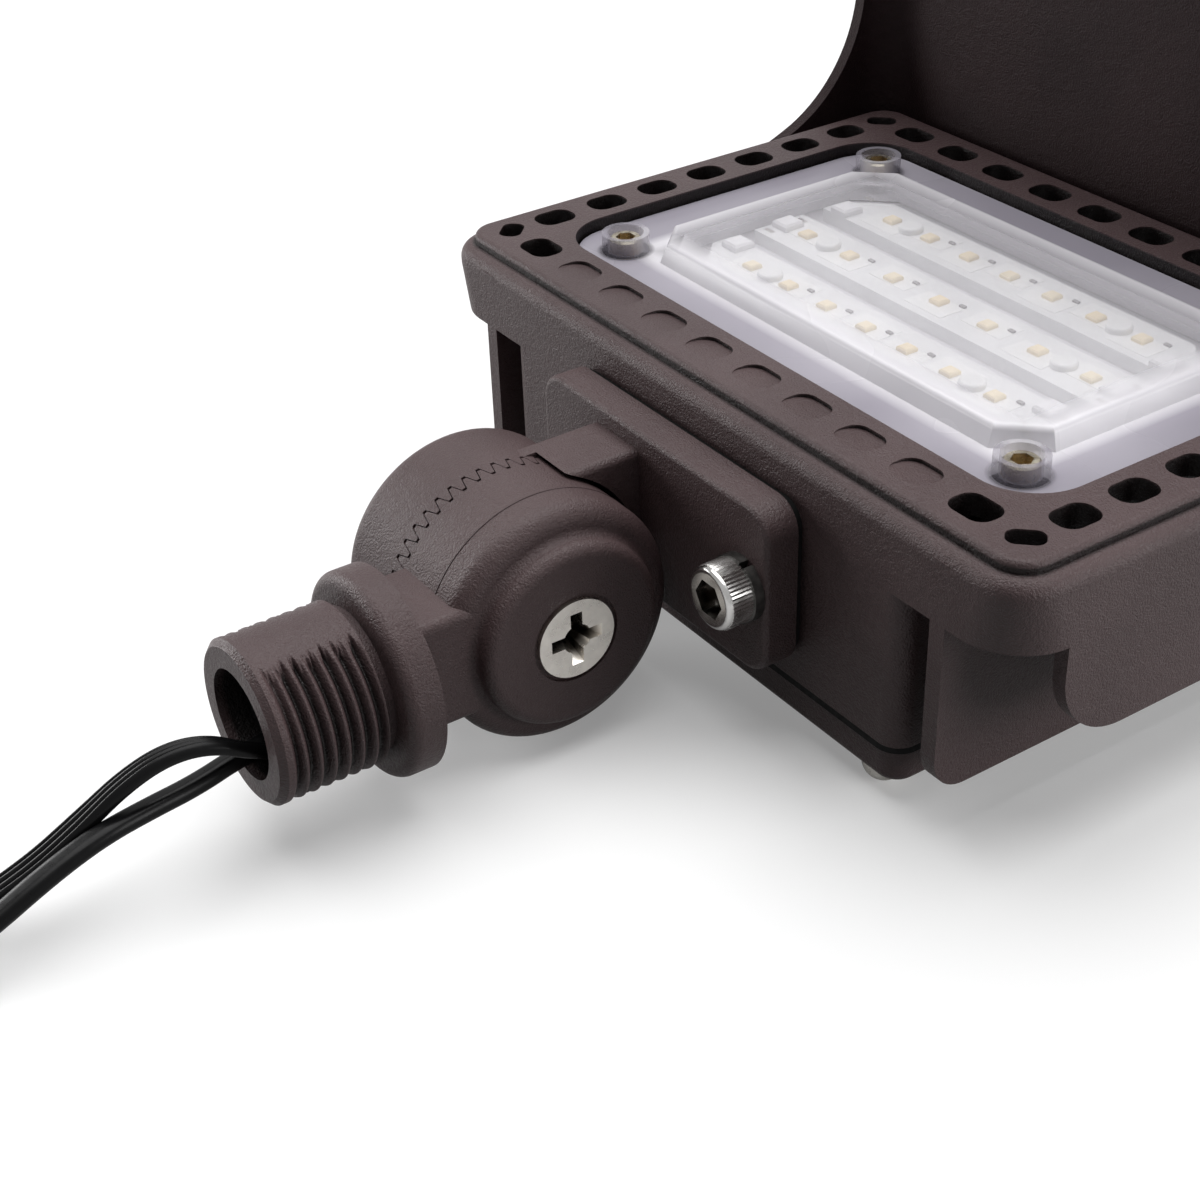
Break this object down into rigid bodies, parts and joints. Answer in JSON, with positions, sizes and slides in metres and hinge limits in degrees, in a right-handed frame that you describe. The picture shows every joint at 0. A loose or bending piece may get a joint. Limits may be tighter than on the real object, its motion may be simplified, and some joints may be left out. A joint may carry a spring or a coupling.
{
  "type": "led flood light",
  "caption": "Bronze LED flood light with a visor and a slotted bezel, on a toothed tilting knuckle with a threaded conduit nipple and free leads.",
  "frame": {"origin": "on the axis of the threaded nipple, where its full thread ends, 1.5 mm before the face of the collar", "axes": "+Y from the nipple towards the lamp head, +Z the way the lens looks at rest, X along the tilt axis with +X on the clamp screw's side"},
  "size_m": [0.1264, 0.2624, 0.0975],
  "materials": {
    "bronze_coat": "fine textured powder coat on die-cast aluminium, satin",
    "steel": "plain",
    "chrome": "bright plated",
    "brass": "plain",
    "copper": "bare copper",
    "black_rubber": "matt",
    "lead_jacket": "satin",
    "frosted_lens": "frosted polycarbonate",
    "white_plastic": "satin",
    "white_board": "matt solder mask",
    "phosphor": "satin",
    "driver_case": "matt"
  },
  "bodies": {
    "base": {"knuckle_base": "bronze_coat", "clamp_screw": "steel", "lead_seal": "black_rubber", "power_lead": "lead_jacket", "control_lead": "lead_jacket", "lead_cores": "copper"},
    "seal": {"knuckle_seal": "black_rubber"},
    "head": {"knuckle_head": "bronze_coat", "clamp_insert": "brass", "plate_gasket": "black_rubber", "plate_screw": "chrome", "plate_spring_washer": "steel", "plate_inner_screw": "steel", "housing": "bronze_coat", "lens": "frosted_lens", "lens_gasket": "black_rubber", "lens_screws": "brass", "led_tray": "white_plastic", "led_board_near": "white_board", "led_board_middle": "white_board", "led_board_far": "white_board", "leds": "phosphor", "board_connectors": "white_plastic", "board_screws": "steel", "driver_module": "driver_case", "rear_cover_gasket": "black_rubber", "rear_cover": "bronze_coat", "rear_cover_screws": "steel", "visor": "bronze_coat", "visor_screws": "steel"}
  },
  "joints": [
    {"name": "knuckle_release", "type": "slide", "parent": "base", "child": "seal", "axis": [-1, 0, 0], "range_m": [0, 0.0025]},
    {"name": "knuckle_tilt", "type": "hinge", "parent": "seal", "child": "head", "pos_m": [0, 0.0273, 0], "axis": [1, 0, 0], "range_deg": [-90, 75]}
  ]
}
